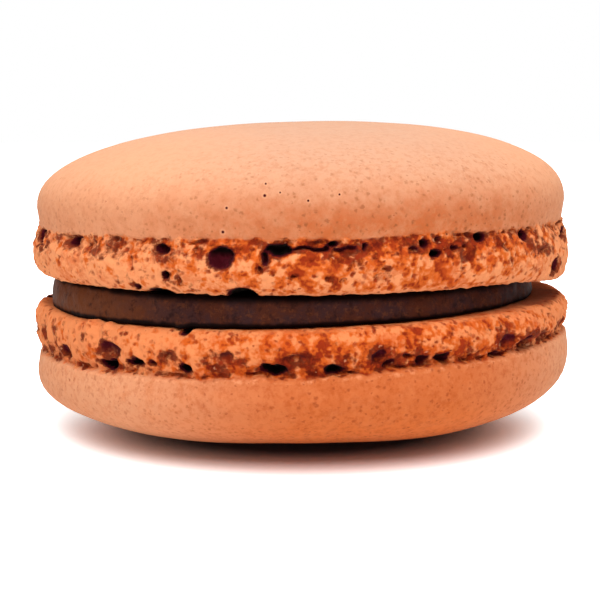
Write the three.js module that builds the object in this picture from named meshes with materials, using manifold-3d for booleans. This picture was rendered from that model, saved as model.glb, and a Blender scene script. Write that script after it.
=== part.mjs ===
// A sandwich macaron: two domed almond meringue shells, each with a crumbly ruffled foot, and a disc of
// dark ganache between them. Millimetres, +Z up, front towards -Y. The origin is the middle of the part's
// base, on the small flat spot of the lower dome.

import * as THREE from "three";
import { ImprovedNoise } from "three/addons/math/ImprovedNoise.js";
import { mergeVertices } from "three/addons/utils/BufferGeometryUtils.js";
import Module from "manifold-3d";

// Driving sizes of the sandwich
const TOP_FACE_LEVEL = 13.2; // flat side of the upper shell above the table
const BOTTOM_FACE_LEVEL = 10.8; // flat side of the lower shell above the table
const FILLING_CLEARANCE = 0.1; // left above and below the ganache disc

// Each shell, measured from its flat face outwards: the crest of its ruffled foot and its share of the
// foot's height, how far the foot's rounded lip turns in to meet the ganache, and the dome. Tilts are in
// degrees, right side up.
const TOP_SHELL = {
  name: "top_shell",
  side: 1,
  faceLevel: TOP_FACE_LEVEL,
  footRadius: 22.5,
  footHeight: 4.0,
  crestShare: 0.56,
  lipDepth: 1.4,
  capRadius: 22.25,
  capHeight: 8.45,
  domeRoundness: 2.27,
  faceTilt: 0.45,
  seamTilt: 0.85,
  crownTilt: 1.8,
  centreX: 0.0,
  seed: 17,
};
const BOTTOM_SHELL = {
  name: "bottom_shell",
  side: -1,
  faceLevel: BOTTOM_FACE_LEVEL,
  footRadius: 22.5,
  footHeight: 3.2,
  crestShare: 0.5,
  lipDepth: 1.0,
  capRadius: 22.5,
  capHeight: 7.68,
  domeRoundness: 2.6,
  faceTilt: 1.5,
  seamTilt: 2.4,
  crownTilt: 0.5,
  centreX: 0.1,
  seed: 42,
};

// The ganache disc. Its side bulges out halfway up and spreads towards its lower edge.
const FILLING = {
  name: "filling",
  radius: 20.5,
  centreX: -0.7,
  centreY: -0.3,
  bulge: 0.3,
  spread: 0.3,
  seed: 31,
};

// Foot outline
const SEAM_RECESS = 0.45; // how far the foot is drawn in just under the cap
const RECESS_START = 0.15; // share of the way from the crest to the seam where it begins
const CAP_EDGE_TUCK = 0.2; // how far the cap's lower edge turns in
const CAP_EDGE_HEIGHT = 0.25; // from the seam to the cap's lower edge
const CAP_WIDEST_HEIGHT = 1.6; // from the seam to the cap's widest part
const CAP_EDGE_RELIEF = 0.15; // share of the foot's crumbs that the cap's lower edge shows

// Unevenness, as a grain size, the depth of the relief and a shift that keeps the kinds apart
const LOBES = { grain: 3.4, depth: 0.6, shift: 0 };
const DOME_WAVES = { grain: 14, depth: 0.25, shift: 9 };
const SEAM_WAVES = { grain: 5, depth: 0.35, shift: 13 };
const HOLLOW_ROUGHNESS = { grain: 0.9, depth: 0.5, shift: 0 };
const FILLING_WAVES = { grain: 4.2, depth: 0.35, shift: 0 };
const SIDEWAYS_SHARE = 0.5; // how much of a dome's wave goes outwards too
const CRUMB_DEPTH = 0.36; // how far single crumbs of the foot stand out or in
const CRUMB_RISE = 0.22; // how far they stray up or down

// Faceting
const FOOT_SEGMENTS = 140;
const LIP_RINGS = 4; // from the flat face up to the crest, which is the last
const FOOT_WALL_SHARES = [0.75, 0.93]; // rings between the crest and the seam
const CAP_RINGS = [
  [84, 0],
  [84, 22],
  [84, 40],
  [72, 56],
  [60, 68],
  [48, 77],
  [28, 83],
  [14, 87.5],
]; // segments, and how far the dome leans over there, in degrees from upright
const FILLING_SEGMENTS = 96;
const FILLING_SHARES = [0, 0.12, 0.5, 0.88, 1]; // rings up the side of the ganache
const WIDE_HOLLOW = 1.35; // a hollow at least this wide has four times the facets

// Hollows in the front of the feet: azimuth in degrees, then distance from the seam, width, height and
// depth.
const TOP_HOLLOWS = [
  [-51, 0.55, 1.8, 0.9, 0.8],
  [-40, 1.0, 1.8, 0.8, 0.45],
  [-32, 3.5, 0.9, 0.4, 0.6],
  [-26, 0.75, 1.4, 0.9, 0.8],
  [-26, 4.0, 2.0, 0.7, 0.7],
  [-25, 2.5, 0.75, 0.6, 0.6],
  [-14.5, 1.3, 1.8, 1.5, 1.1],
  [-11, 4.0, 2.0, 1.0, 0.8],
  [-6.5, 1.4, 0.75, 1.1, 0.7],
  [-3.5, 0.65, 1.9, 0.9, 1.2],
  [3, 0.6, 2.8, 0.4, 0.7],
  [8.5, 0.8, 2.8, 0.9, 0.8],
  [22, 0.8, 1.5, 0.7, 0.7],
  [25.5, 1.3, 1.0, 0.6, 0.9],
  [30.5, 0.95, 1.5, 0.6, 0.7],
  [36.7, 0.3, 1.1, 0.6, 0.9],
  [49.5, 0.6, 1.2, 0.85, 0.8],
  [57, 1.8, 2.4, 0.7, 0.5],
];
const BOTTOM_HOLLOWS = [
  [-57, 0.8, 1.7, 0.9, 0.8],
  [-40, 1.5, 2.2, 1.2, 0.6],
  [-40, 0.7, 2.1, 0.7, 1.0],
  [-33, 0.9, 1.2, 0.8, 1.0],
  [-26, 1.5, 1.1, 0.6, 0.6],
  [-22, 0.6, 0.9, 0.6, 0.9],
  [-21.8, 3.2, 0.7, 0.9, 0.7],
  [-14, 1.3, 1.5, 0.7, 0.6],
  [-5.5, 0.6, 1.9, 0.8, 1.2],
  [-1.5, 1.2, 1.8, 0.9, 0.7],
  [6, 0.5, 1.4, 0.65, 1.1],
  [14.5, 0.8, 1.5, 1.1, 0.8],
  [19.5, 0.85, 1.1, 0.5, 0.7],
  [22.7, 0.6, 1.1, 0.8, 0.8],
  [27, 0.5, 1.3, 0.9, 0.9],
  [40, 0.35, 1.4, 0.55, 0.8],
  [43, 1.0, 1.9, 1.4, 0.8],
  [50, 0.6, 1.9, 0.9, 0.8],
  [57.5, 0.7, 2.5, 1.0, 0.6],
];
// Hollows round the rest of the foot, drawn from a seeded generator within these limits
const SIDE_HOLLOWS = {
  azimuths: [66, 296],
  spacing: 11,
  stray: 5,
  width: [0.9, 2.3],
  height: [0.5, 1.2],
  fromSeam: [0.4, 1.3],
  depthForWidth: 0.6,
};
const BALL_REACH = { width: 0.6, depth: 1.2, height: 0.65 }; // half-axes of a rough ball, for its hollow's sizes
const TABLE_SLAB = { width: 60, thickness: 4 };

const SHELL_COLOUR = 0xd98a5c;
const GANACHE_COLOUR = 0x3a2119;

const wasm = await Module();
wasm.setup();
const perlin = new ImprovedNoise();
const radians = THREE.MathUtils.degToRad;
const slope = (degrees) => Math.tan(radians(degrees));

// A smooth random value at a point, about -depth/2 to depth/2.
function unevenness({ grain, depth, shift }, x, y, z, seed) {
  const place = seed + shift;
  return depth * perlin.noise(x / grain + place, y / grain - place, z / grain + place / Math.E);
}

// A repeatable random generator, 0 to 1.
function seededDraws(seed) {
  let state = seed;
  return () => {
    state = (state * 1664525 + 1013904223) % 4294967296;
    return state / 4294967296;
  };
}

// The tilt of a shell's layers, which changes from its face to its seam and on to its crown.
function layerSlope(shell, height) {
  const { lerp, smoothstep } = THREE.MathUtils;
  const [face, seam, crown] = [shell.faceTilt, shell.seamTilt, shell.crownTilt].map(slope);
  if (height <= shell.footHeight) return lerp(face, seam, height / shell.footHeight);
  return lerp(seam, crown, smoothstep(height, shell.footHeight, shell.footHeight + shell.capHeight));
}

// X and Y at an azimuth, which is 0 in front and grows to the right.
function around(azimuth, radius) {
  return [radius * Math.sin(azimuth), -radius * Math.cos(azimuth)];
}

// A point of a shell in its own frame: x and y as they lie, z up, with its face at z = 0 on the axis.
function shellPoint(shell, azimuth, radius, height) {
  const [x, y] = around(azimuth, radius);
  return [x + shell.centreX, y, shell.side * height + x * layerSlope(shell, height)];
}

// Radius and height of the foot's outline at a share of its height above the crest.
function footWall(shell, share) {
  const climb = (share - shell.crestShare) / (1 - shell.crestShare);
  const radius = shell.footRadius - SEAM_RECESS * THREE.MathUtils.smoothstep(climb, RECESS_START, 1);
  return [radius, share * shell.footHeight];
}

// Radius and height of the rounded lip at an angle from the flat face, 90 degrees being the crest.
function footLip(shell, degrees) {
  const angle = radians(degrees);
  const radius = shell.footRadius - shell.lipDepth * (1 - Math.sin(angle));
  return [radius, shell.crestShare * shell.footHeight * (1 - Math.cos(angle))];
}

// Radius and height of the dome, a superellipse, where it leans over by an angle from upright.
function dome(shell, lean) {
  const power = 2 / shell.domeRoundness;
  const rise = shell.capHeight - CAP_WIDEST_HEIGHT;
  const angle = Math.atan(((slope(lean) * rise) / shell.capRadius) ** (1 / (2 - power)));
  const height = shell.footHeight + CAP_WIDEST_HEIGHT + rise * Math.sin(angle) ** power;
  return [shell.capRadius * Math.cos(angle) ** power, height];
}

// One smooth ring of the dome, bent by long low waves.
function domeRing(shell, segments, [radius, height]) {
  const points = [];
  for (let i = 0; i < segments; i++) {
    const azimuth = (2 * Math.PI * i) / segments;
    const wave = unevenness(DOME_WAVES, ...around(azimuth, radius), height, shell.seed);
    points.push(shellPoint(shell, azimuth, radius + SIDEWAYS_SHARE * wave, height + wave));
  }
  return { points, turn: 0 };
}

// One crumbly ring of the foot, with relief from 0 at its flat face to 1, turned by a share of a segment.
function footRing(shell, [radius, height], relief, turn, draw) {
  const points = [];
  for (let i = 0; i < FOOT_SEGMENTS; i++) {
    const azimuth = (2 * Math.PI * (i + turn)) / FOOT_SEGMENTS;
    const place = around(azimuth, radius);
    const lobe = unevenness(LOBES, ...place, height, shell.seed);
    const crumb = CRUMB_DEPTH * (draw() - 0.5);
    const wave = Math.min(height / shell.footHeight, 1) * unevenness(SEAM_WAVES, ...place, 0, shell.seed);
    const rise = wave + relief * CRUMB_RISE * (draw() - 0.5);
    points.push(shellPoint(shell, azimuth, radius + relief * (lobe + crumb), height + rise));
  }
  return { points, turn };
}

// Joins two rings, of any number of points, with a belt of triangles that face outwards.
function stitch(triangles, lower, upper) {
  const [from, to] = [lower.points, upper.points];
  let i = 0;
  let j = 0;
  while (i < from.length || j < to.length) {
    const a = from[i % from.length];
    const b = to[j % to.length];
    const lowerNext = (i + 1 + lower.turn) / from.length;
    const upperNext = (j + 1 + upper.turn) / to.length;
    if (j >= to.length || (i < from.length && lowerNext <= upperNext)) {
      triangles.push(a, from[(i + 1) % from.length], b);
      i += 1;
    } else {
      triangles.push(a, to[(j + 1) % to.length], b);
      j += 1;
    }
  }
}

// Closes a ring with a fan to one point.
function fan(triangles, { points }, middle, faceUp) {
  for (let i = 0; i < points.length; i++) {
    const next = points[(i + 1) % points.length];
    triangles.push(points[i], ...(faceUp ? [next, middle] : [middle, next]));
  }
}

// A geometry from corner points, three to a triangle. A mirrored one has its triangles turned round.
function geometryOf(corners, mirrored) {
  const positions = [];
  for (let i = 0; i < corners.length; i += 3) {
    const [a, b, c] = corners.slice(i, i + 3);
    positions.push(...a, ...(mirrored ? [...c, ...b] : [...b, ...c]));
  }
  const geometry = new THREE.BufferGeometry();
  geometry.setAttribute("position", new THREE.Float32BufferAttribute(positions, 3));
  return geometry;
}

// A closed geometry as a solid for cutting.
function solidOf(geometry) {
  const bare = geometry.clone();
  bare.deleteAttribute("normal");
  bare.deleteAttribute("uv");
  const merged = mergeVertices(bare, 1e-4);
  const corners = merged.index ? merged.index.array : merged.getAttribute("position").array.keys();
  return new wasm.Manifold(
    new wasm.Mesh({
      numProp: 3,
      vertProperties: Float32Array.from(merged.getAttribute("position").array),
      triVerts: Uint32Array.from(corners),
    }),
  );
}

// A cut solid back as a geometry.
function geometryFrom(solid) {
  const mesh = solid.getMesh();
  const geometry = new THREE.BufferGeometry();
  geometry.setAttribute("position", new THREE.BufferAttribute(mesh.vertProperties, 3));
  geometry.setIndex(new THREE.BufferAttribute(mesh.triVerts, 1));
  geometry.computeVertexNormals();
  return geometry;
}

// The whole shell before its hollows are cut: face, lip, foot, seam and dome.
function bareShell(shell) {
  const draw = seededDraws(shell.seed);
  const outlines = [];
  for (let i = 0; i <= LIP_RINGS; i++) {
    const share = i / LIP_RINGS;
    outlines.push([footLip(shell, 90 * share), share]);
  }
  for (const share of FOOT_WALL_SHARES) outlines.push([footWall(shell, share), 1]);
  outlines.push([[shell.capRadius - CAP_EDGE_TUCK, shell.footHeight + CAP_EDGE_HEIGHT], CAP_EDGE_RELIEF]);
  const rings = outlines.map(([outline, relief], i) => footRing(shell, outline, relief, (i % 2) / 2, draw));
  for (const [segments, lean] of CAP_RINGS) rings.push(domeRing(shell, segments, dome(shell, lean)));
  const triangles = [];
  fan(triangles, rings[0], shellPoint(shell, 0, 0, 0), false);
  for (let i = 1; i < rings.length; i++) stitch(triangles, rings[i - 1], rings[i]);
  const apex = shell.footHeight + shell.capHeight;
  fan(triangles, rings.at(-1), shellPoint(shell, 0, 0, apex), true);
  return geometryOf(triangles, shell.side < 0);
}

// The hollows of one shell: those seen in front, then seeded ones round the rest.
function hollowsOf(shell, inFront) {
  const draw = seededDraws(shell.seed);
  const between = ([low, high]) => low + (high - low) * draw();
  const all = [...inFront];
  const [first, last] = SIDE_HOLLOWS.azimuths;
  for (let azimuth = first; azimuth < last; azimuth += SIDE_HOLLOWS.spacing) {
    const width = between(SIDE_HOLLOWS.width);
    const height = between(SIDE_HOLLOWS.height);
    const fromSeam = between(SIDE_HOLLOWS.fromSeam);
    const depth = SIDE_HOLLOWS.depthForWidth * width;
    all.push([azimuth + SIDE_HOLLOWS.stray * draw(), fromSeam, width, height, depth]);
  }
  return all;
}

// A ball of radius 1 with an uneven surface.
function roughBall(detail, seed) {
  const ball = new THREE.IcosahedronGeometry(1, detail);
  const corners = ball.getAttribute("position");
  const corner = new THREE.Vector3();
  for (let i = 0; i < corners.count; i++) {
    corner.fromBufferAttribute(corners, i);
    corner.multiplyScalar(1 + unevenness(HOLLOW_ROUGHNESS, corner.x, corner.y, corner.z, seed));
    corners.setXYZ(i, corner.x, corner.y, corner.z);
  }
  return ball;
}

// One hollow as a rough ball, squashed to its width, height and depth and sunk into the foot.
function hollow(shell, [degrees, fromSeam, width, height, depth]) {
  const ball = roughBall(width < WIDE_HOLLOW ? 0 : 1, shell.seed + degrees);
  const azimuth = radians(degrees);
  ball.scale(BALL_REACH.width * width, BALL_REACH.depth * depth, BALL_REACH.height * height);
  ball.rotateZ(azimuth);
  const share = THREE.MathUtils.clamp(1 - fromSeam / shell.footHeight, 0, 1);
  const [radius] = share < shell.crestShare ? [shell.footRadius] : footWall(shell, share);
  ball.translate(...shellPoint(shell, azimuth, radius, share * shell.footHeight));
  return solidOf(ball);
}

// A slab under the table, to flatten the spot that the lower dome rests on.
function table(shell) {
  const slab = new THREE.BoxGeometry(TABLE_SLAB.width, TABLE_SLAB.width, TABLE_SLAB.thickness);
  slab.translate(0, 0, -TABLE_SLAB.thickness / 2 - shell.faceLevel);
  return solidOf(slab);
}

// The largest body of a cut solid, without any loose scraps.
function mainBody(solid) {
  return solid.decompose().reduce((best, body) => (body.volume() > best.volume() ? body : best));
}

// A finished shell, with its hollows and, on the lower one, its flat spot.
function shellMesh(shell, inFront) {
  let solid = solidOf(bareShell(shell));
  for (const shape of hollowsOf(shell, inFront)) solid = solid.subtract(hollow(shell, shape));
  if (shell.side < 0) solid = solid.subtract(table(shell));
  const meringue = new THREE.MeshStandardMaterial({ color: SHELL_COLOUR, roughness: 0.85, metalness: 0 });
  const mesh = new THREE.Mesh(geometryFrom(mainBody(solid)), meringue);
  mesh.name = shell.name;
  mesh.position.z = shell.faceLevel;
  return mesh;
}

// The ganache disc: a wedge between the two faces with a soft, slightly bulging side.
function fillingMesh() {
  const top = TOP_FACE_LEVEL - FILLING_CLEARANCE;
  const bottom = BOTTOM_FACE_LEVEL + FILLING_CLEARANCE;
  const level = (x, share) => {
    const low = bottom + x * slope(BOTTOM_SHELL.faceTilt);
    const high = top + x * slope(TOP_SHELL.faceTilt);
    return THREE.MathUtils.lerp(low, high, share);
  };
  const rings = FILLING_SHARES.map((share) => {
    const points = [];
    const bulge = FILLING.bulge * Math.sqrt(1 - (2 * share - 1) ** 2) + FILLING.spread * (0.5 - share);
    for (let i = 0; i < FILLING_SEGMENTS; i++) {
      const azimuth = (2 * Math.PI * i) / FILLING_SEGMENTS;
      const wave = unevenness(FILLING_WAVES, ...around(azimuth, FILLING.radius), share, FILLING.seed);
      const [x, y] = around(azimuth, FILLING.radius - FILLING.bulge + bulge + wave);
      points.push([FILLING.centreX + x, FILLING.centreY + y, level(FILLING.centreX + x, share)]);
    }
    return { points, turn: 0 };
  });
  const triangles = [];
  fan(triangles, rings[0], [FILLING.centreX, FILLING.centreY, level(FILLING.centreX, 0)], false);
  for (let i = 1; i < rings.length; i++) stitch(triangles, rings[i - 1], rings[i]);
  fan(triangles, rings.at(-1), [FILLING.centreX, FILLING.centreY, level(FILLING.centreX, 1)], true);
  const ganache = new THREE.MeshStandardMaterial({ color: GANACHE_COLOUR, roughness: 0.45, metalness: 0 });
  const mesh = new THREE.Mesh(geometryOf(triangles, false), ganache);
  mesh.name = FILLING.name;
  return mesh;
}

const macaron = new THREE.Group();
macaron.add(shellMesh(TOP_SHELL, TOP_HOLLOWS));
macaron.add(fillingMesh());
macaron.add(shellMesh(BOTTOM_SHELL, BOTTOM_HOLLOWS));

// The origin goes to the middle of the whole outline.
const middle = new THREE.Box3().setFromObject(macaron).getCenter(new THREE.Vector3());
for (const piece of macaron.children) {
  piece.position.x -= middle.x;
  piece.position.y -= middle.y;
}

export default macaron;
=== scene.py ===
"""A sandwich macaron: two domed meringue shells with crumbly feet round a disc of dark ganache.

Shapes are worked out in millimetres and the finished meshes are in metres. +Z is up and the front faces
-Y. Azimuths are in degrees from the front and grow to the right. Heights of a shell are measured from its
flat face outwards, so the lower shell is the upper one's kind turned over.
"""

import itertools
import logging
import math
import random
from dataclasses import dataclass
from enum import Enum

import bmesh
import bpy
import numpy as np
from mathutils import Euler, Matrix, Vector

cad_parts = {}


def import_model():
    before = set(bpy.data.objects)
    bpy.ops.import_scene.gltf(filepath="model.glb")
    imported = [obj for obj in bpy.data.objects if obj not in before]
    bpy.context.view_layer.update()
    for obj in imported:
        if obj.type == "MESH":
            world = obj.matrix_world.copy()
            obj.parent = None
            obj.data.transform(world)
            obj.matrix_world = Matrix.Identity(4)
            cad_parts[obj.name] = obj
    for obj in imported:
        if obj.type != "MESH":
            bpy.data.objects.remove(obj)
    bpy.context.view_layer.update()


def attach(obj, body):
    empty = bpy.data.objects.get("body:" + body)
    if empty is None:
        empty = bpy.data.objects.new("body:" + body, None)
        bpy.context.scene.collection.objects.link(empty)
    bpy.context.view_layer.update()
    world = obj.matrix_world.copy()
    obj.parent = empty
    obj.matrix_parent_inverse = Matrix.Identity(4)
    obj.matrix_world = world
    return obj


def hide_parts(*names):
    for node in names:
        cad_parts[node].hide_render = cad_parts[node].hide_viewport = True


LOG = logging.getLogger("macaron")
MM = 0.001
AXIS = (-0.169, 0.150)  # where the common axis of the layers lies
TOP_FACE_LEVEL = 13.2
BOTTOM_FACE_LEVEL = 10.8
FILLING_CLEARANCE = 0.1

# Spacing of the points along an outline, before the foot's own band is divided once more
FACE_SPACING = 2.6
BAND_SPACING = 0.27
DOME_SPACING = 0.56
SPIN_STEPS = 500
SPIN_SECTORS = 20  # the full turn is made of this many equal sectors
CAP_BAND = 1.2  # how far the finely divided band reaches up the cap from the seam

# Foot and cap outline, as in the solids
SEAM_RECESS = 0.45
RECESS_START = 0.15
CAP_EDGE_TUCK = 0.2
CAP_EDGE_HEIGHT = 0.25
CAP_WIDEST_HEIGHT = 1.6

RIM_SOFTNESS = 0.14  # width of a hollow's wall
STAIN_REACH = 0.24  # how far the brown stain spreads round a hollow
PORE_STAIN_REACH = 0.12
PORES_IN_STAIN = 3.0  # for each square millimetre
UNDER_EDGE_SHADE = 1.6  # how much darker a half-deep hollow's painted shade is under its upper edge
BLACK_DEPTHS = (0.3, 1.4)  # the painted shade in hollows turns from brown to black between these depths
HOLLOW_MARGIN = 0.9  # how far round a hollow its effects are worked out
BY_SEAM = (0.3, 1.4)  # where most of the seeded hollows lie, from the seam
BY_SEAM_SHARE = 0.75

# The crack that runs along the seam
CRACK_FROM_SEAM = 0.1
CRACK_SWAY = 0.16
CRACK_REACH = (0.22, 0.06)
CRACK_DEPTH = 0.05
CRACK_DEPTH_MORE = 0.4  # where it gapes

# How far each random relief of the foot reaches
RELIEF_DEPTHS = {"lobe": 0.3, "crumb": 0.06, "torn": 0.08, "fine": 0.05}

# Stretches over which something eases in, azimuths in degrees
FRONT_REACH = (38.0, 5.0)  # from the front, where the dome is flatter
PAINTED_LIGHT_REACH = (12.0, 58.0)  # from the side with least painted light, over which painted light and sheen make the crust paler
CROWN_REACH = (4.0, 20.0)  # radii over which the painted light and sheen grow from the dome's middle
LOW_ZONE = (5.6, 0.2)  # heights above the seam over which the cap turns browner
UNSEEN = (62.0, 298.0)  # azimuths where seeded hollows take over from the placed ones
SHADE_AND_SMEAR_START = (50.0, 62.0)  # the painted shade and the ganache's smear on the lower lip, on the right
SHADE_AND_SMEAR_END = (92.0, 76.0)
GANACHE_LEFT = (-18.0, -55.0)  # azimuths over which painted light makes the ganache lighter on its left

GANACHE_SPACING = 2.2
GANACHE_SIDE_STEPS = 26
AIM_HEIGHT = 12.0  # the lamps look at a point this high above the table

# Factors of a usual integer hash
CELL_FACTORS = (73856093, 19349663, 83492791)
SEED_FACTOR = 2654435761
SALT_STEP = 0x9E3779B97F4A7C15
HASH_ROUNDS = ((30, 0xBF58476D1CE4E5B9), (27, 0x94D049BB133111EB), (31, 1))

Colour = tuple[float, float, float, float]
WHITE: Colour = (1.0, 1.0, 1.0, 1.0)
BLACK: Colour = (0.0, 0.0, 0.0, 1.0)

# Cell size in millimetres, then a spot's size, the share of cells taken and the raggedness in cells
SPOTS = {
    "dots": (0.9, 0.14, 0.05, 0.5),
    "specks": (0.4, 0.4, 0.52, 0.8),
    # pricks: painted shade of small pores
    "pricks": (0.58, 0.38, 0.5, 0.35),
    # painted glints on crumbs in the stains
    "crumbs": (0.42, 0.36, 0.16, 0.9),
}

# Values that a shell's mesh carries for its finish
MARKS = ("foot", "pit", "stain", "pore", "lump", "rim_highlight", "inner", "away", "painted_light_side", "low", "brim", "crown")


def smooth_steps(value: np.ndarray, low: float, high: float) -> np.ndarray:
    """Eases from 0 at low to 1 at high, which may also be the smaller of the two.

    Args:
        value: The values to ease.
        low: Where the result is 0.
        high: Where the result is 1.

    Returns:
        The eased values.
    """
    share = np.clip((value - low) / (high - low), 0.0, 1.0)
    return share * share * (3.0 - 2.0 * share)


def turned_from(start: float, azimuth: np.ndarray) -> np.ndarray:
    """Measures azimuths from another one, as -180 to 180 degrees."""
    return (azimuth - start + 180.0) % 360.0 - 180.0


def in_scene(name: str, data: bpy.types.ID) -> bpy.types.Object:
    """Makes an object of a mesh, a lamp or a camera."""
    made = bpy.data.objects.new(name, data)
    bpy.context.scene.collection.objects.link(made)
    return made


def spaced(points: list[tuple[float, float]], spacing: float) -> list[tuple[float, float]]:
    """Places points at even distances along an outline.

    Args:
        points: The outline's corners.
        spacing: The wanted distance between points.

    Returns:
        The evenly spaced points, with the outline's two ends.
    """
    corners = np.array(points)
    lengths = np.hypot(*np.diff(corners, axis=0).T)
    travelled = np.concatenate([[0.0], np.cumsum(lengths)])
    count = max(1, round(travelled[-1] / spacing))
    stops = np.linspace(0.0, travelled[-1], count + 1)
    radii, heights = (np.interp(stops, travelled, corners[:, axis]).tolist() for axis in (0, 1))
    return list(zip(radii, heights))


def cell_draws(cells: np.ndarray, seed: int) -> np.ndarray:
    """Draws three repeatable random numbers for each cell of a lattice.

    Args:
        cells: Whole-number places of the cells, one a row.
        seed: Tells one lattice from another.

    Returns:
        Numbers from -1 to 1, three a row.
    """
    keys = np.full(len(cells), seed * SEED_FACTOR, np.int64)
    for axis, factor in enumerate(CELL_FACTORS):
        keys ^= cells[:, axis] * factor
    drawn = np.empty((len(cells), 3))
    for column in range(3):
        mixed = keys.astype(np.uint64) + np.uint64((column + 1) * SALT_STEP % 2**64)
        for shift, factor in HASH_ROUNDS:
            mixed ^= mixed >> np.uint64(shift)
            mixed *= np.uint64(factor)
        drawn[:, column] = (mixed >> np.uint64(11)).astype(float) / 2**52 - 1.0
    return drawn


@dataclass(frozen=True)
class Unevenness:
    """Smooth random relief of one grain size."""

    grain: float
    depth: float
    seed: int

    def at(self, places: np.ndarray) -> np.ndarray:
        """Gives the relief at each place.

        Args:
            places: Points in millimetres, one a row.

        Returns:
            The relief at each point, about -depth to depth.
        """
        scaled = places / self.grain
        cells = np.floor(scaled).astype(np.int64)
        inside = scaled - cells
        eased = inside**3 * (inside * (inside * 6.0 - 15.0) + 10.0)
        total = np.zeros(len(places))
        for corner in itertools.product((0, 1), repeat=3):
            slopes = cell_draws(cells + corner, self.seed)
            weight = np.prod(np.where(corner, eased, 1.0 - eased), axis=1)
            total += weight * ((inside - corner) * slopes).sum(axis=1)
        return self.depth * 1.6 * total


@dataclass(frozen=True)
class Crumbs:
    """Rounded lumps with creases between them."""

    grain: float
    depth: float
    seed: int

    def at(self, places: np.ndarray) -> np.ndarray:
        """Gives the relief at each place.

        Args:
            places: Points in millimetres, one a row.

        Returns:
            The relief at each point, from -depth in a crease to depth on a lump.
        """
        scaled = places / self.grain
        cells = np.floor(scaled).astype(np.int64)
        near = np.full(len(places), 9.0)
        far = near.copy()
        for step in itertools.product((-1, 0, 1), repeat=3):
            middles = cells + step + 0.5 + 0.5 * cell_draws(cells + step, self.seed)
            away = np.linalg.norm(scaled - middles, axis=1)
            far = np.minimum(far, np.maximum(near, away))
            near = np.minimum(near, away)
        return self.depth * (2.0 * np.minimum((far - near) * 2.2, 1.0) - 1.0)


@dataclass(frozen=True)
class Hollow:
    """A ragged hole or dent in a foot."""

    azimuth: float
    from_seam: float
    width: float
    height: float
    depth: float
    raggedness: float = 0.3


@dataclass(frozen=True)
class Stain:
    """A brown patch of the crumb, with small pores in it."""

    azimuth: float
    from_seam: float
    width: float
    height: float
    strength: float


@dataclass(frozen=True)
class LipSag:
    """A stretch of a foot's lip that hangs towards the ganache."""

    azimuth: float
    reach: float
    drop: float
    swell: float


@dataclass
class MeshMaker:
    """Turns outlines into closed meshes and carries values for the finishes."""

    name: str

    def spun(self, outline: list[tuple[float, float]], steps: int) -> bmesh.types.BMesh:
        """Spins an outline once round the upright axis.

        Args:
            outline: Radius and height of each point, from one pole to the other.
            steps: How many steps make the full turn.

        Returns:
            The closed mesh in outline space.
        """
        bm = bmesh.new()
        verts = [bm.verts.new((0.0, -radius, height)) for radius, height in outline]
        edges = [bm.edges.new(pair) for pair in zip(verts, verts[1:])]
        sector = 2.0 * math.pi / SPIN_SECTORS
        bmesh.ops.spin(
            bm,
            geom=verts + edges,
            cent=(0.0, 0.0, 0.0),
            axis=(0.0, 0.0, 1.0),
            dvec=(0.0, 0.0, 0.0),
            angle=sector,
            steps=steps // SPIN_SECTORS,
            use_merge=False,
            use_duplicate=False,
        )
        first = bm.verts[:] + bm.edges[:] + bm.faces[:]
        for turn in range(1, SPIN_SECTORS):
            copied = bmesh.ops.duplicate(bm, geom=first)["geom"]
            points = [item for item in copied if isinstance(item, bmesh.types.BMVert)]
            turned = Matrix.Rotation(turn * sector, 3, "Z")
            bmesh.ops.rotate(bm, verts=points, cent=(0.0, 0.0, 0.0), matrix=turned)
        bmesh.ops.remove_doubles(bm, verts=bm.verts[:], dist=1e-4)
        return bm

    def finished(
        self,
        bm: bmesh.types.BMesh,
        places: np.ndarray,
        values: dict[str, np.ndarray],
    ) -> bpy.types.Object:
        """Moves the points to their final places and makes the object.

        Args:
            bm: The mesh in outline space.
            places: The final places in millimetres, one a row.
            values: Named values of each point, for the finish.

        Returns:
            The object, at the origin, with its place in its mesh.
        """
        for vert, place in zip(bm.verts, (places * MM).tolist()):
            vert.co = place
        bmesh.ops.recalc_face_normals(bm, faces=bm.faces[:])
        for face in bm.faces:
            face.smooth = True
        mesh = bpy.data.meshes.new(self.name)
        bm.to_mesh(mesh)
        bm.free()
        for name, value in values.items():
            layer = mesh.attributes.new(name, "FLOAT", "POINT")
            layer.data.foreach_set("value", value.astype(np.float32))
        return in_scene(self.name, mesh)


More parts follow.
